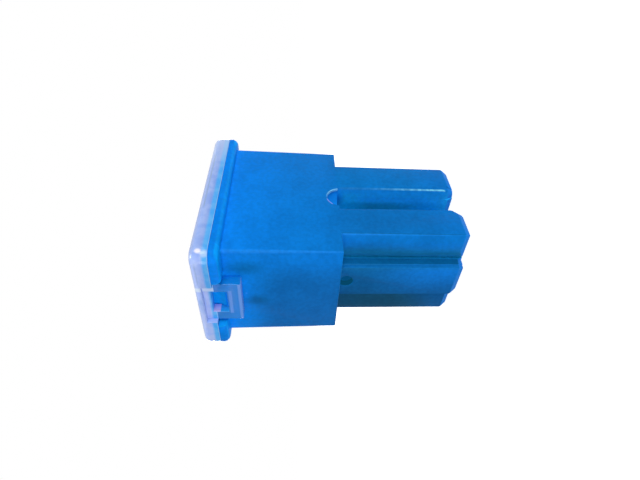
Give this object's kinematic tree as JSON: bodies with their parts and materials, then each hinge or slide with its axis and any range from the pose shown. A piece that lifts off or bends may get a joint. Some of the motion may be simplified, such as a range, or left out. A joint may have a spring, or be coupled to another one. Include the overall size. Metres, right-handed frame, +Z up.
{
  "type": "cartridge fuse",
  "caption": "Blue plastic automotive cartridge fuse with a clear clip-on cover, a female tab socket in each leg and a fusible bridge between them.",
  "frame": {"origin": "centre of the bounding box's lower face, level with the leg ends", "axes": "+Z up from the leg ends to the cover; +X across the two legs, towards a latch; +Y towards a plain side"},
  "size_m": [0.0218, 0.015, 0.0293],
  "materials": {
    "blue_plastic": "smooth moulded nylon, slightly glossy",
    "clear_plastic": "clear moulded plastic with a faint lilac tint",
    "tinned_metal": "tin-plated copper-alloy sheet, satin",
    "tin": "dull cast tin"
  },
  "bodies": {
    "root": {"housing": "blue_plastic", "cover": "clear_plastic", "fuse_element": "tinned_metal", "tin_slug": "tin"}
  },
  "joints": []
}
